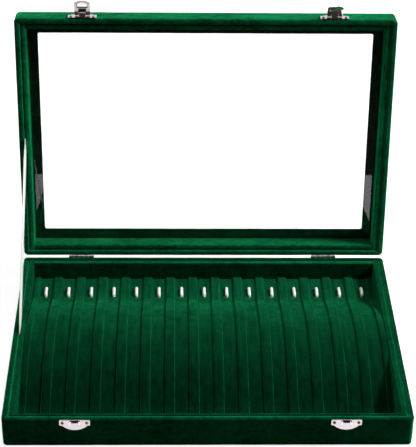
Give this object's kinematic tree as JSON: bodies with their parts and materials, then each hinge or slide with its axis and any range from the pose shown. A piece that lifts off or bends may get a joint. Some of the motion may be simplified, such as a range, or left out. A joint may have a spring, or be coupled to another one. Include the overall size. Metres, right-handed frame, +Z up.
{
  "type": "necklace organizer box",
  "caption": "Velvet-covered necklace case with a hinged glass lid, two hasps, a stay ribbon and an arched insert with ribs and chain hooks.",
  "frame": {"origin": "centre of the base's underside", "axes": "+X to the right along the width, +Y from the front to the back, +Z up, with the lid stored open"},
  "size_m": [0.35, 0.3002, 0.2835],
  "materials": {
    "velvet": "dark green velvet",
    "insert_velvet": "dark green velvet over board",
    "bright_metal": "bright nickel plate",
    "hinge_metal": "dark nickel plate",
    "white_plastic": "smooth white",
    "ribbon_satin": "white satin",
    "clear_glass": "clear"
  },
  "bodies": {
    "base": {"base_bottom_board": "velvet", "base_liner_back": "velvet", "base_liner_front": "velvet", "base_liner_left": "velvet", "base_liner_right": "velvet", "base_wall_frame": "velvet", "catch_nail_left_1": "bright_metal", "catch_nail_left_2": "bright_metal", "catch_nail_right_1": "bright_metal", "catch_nail_right_2": "bright_metal", "catch_plate_left": "bright_metal", "catch_plate_right": "bright_metal", "chain_hook_01": "white_plastic", "chain_hook_02": "white_plastic", "chain_hook_03": "white_plastic", "chain_hook_04": "white_plastic", "chain_hook_05": "white_plastic", "chain_hook_06": "white_plastic", "chain_hook_07": "white_plastic", "chain_hook_08": "white_plastic", "chain_hook_09": "white_plastic", "chain_hook_10": "white_plastic", "chain_hook_11": "white_plastic", "chain_hook_12": "white_plastic", "chain_hook_13": "white_plastic", "chain_hook_14": "white_plastic", "chain_hook_15": "white_plastic", "hinge_base_leaf_left": "hinge_metal", "hinge_base_leaf_right": "hinge_metal", "hinge_base_nail_left_1": "hinge_metal", "hinge_base_nail_left_2": "hinge_metal", "hinge_base_nail_right_1": "hinge_metal", "hinge_base_nail_right_2": "hinge_metal", "hinge_pin_left": "hinge_metal", "hinge_pin_right": "hinge_metal", "ribbed_insert": "insert_velvet", "stay_ribbon": "ribbon_satin"},
    "lid": {"hinge_lid_leaf_left": "hinge_metal", "hinge_lid_leaf_right": "hinge_metal", "hinge_lid_nail_left_1": "hinge_metal", "hinge_lid_nail_left_2": "hinge_metal", "hinge_lid_nail_right_1": "hinge_metal", "hinge_lid_nail_right_2": "hinge_metal", "latch_nail_left_1": "bright_metal", "latch_nail_left_2": "bright_metal", "latch_nail_right_1": "bright_metal", "latch_nail_right_2": "bright_metal", "latch_pin_left": "bright_metal", "latch_pin_right": "bright_metal", "latch_plate_left": "bright_metal", "latch_plate_right": "bright_metal", "lid_frame": "velvet", "lid_glass": "clear_glass", "lid_liner_back": "velvet", "lid_liner_front": "velvet", "lid_liner_left": "velvet", "lid_liner_right": "velvet"},
    "left_flap": {"latch_flap_left": "bright_metal"},
    "right_flap": {"latch_flap_right": "bright_metal"}
  },
  "joints": [
    {"name": "lid_hinge", "type": "hinge", "parent": "base", "child": "lid", "pos_m": [0, 0.1208, 0.0295], "axis": [1, 0, 0], "range_deg": [0, 98.2], "deforming": ["stay_ribbon"]},
    {"name": "left_flap_hinge", "type": "hinge", "parent": "lid", "child": "left_flap", "pos_m": [-0.1129, 0.1612, 0.26989], "axis": [1, 0, 0], "range_deg": [-79, 71]},
    {"name": "right_flap_hinge", "type": "hinge", "parent": "lid", "child": "right_flap", "pos_m": [0.1171, 0.1612, 0.26989], "axis": [1, 0, 0], "range_deg": [-102, 48]}
  ]
}
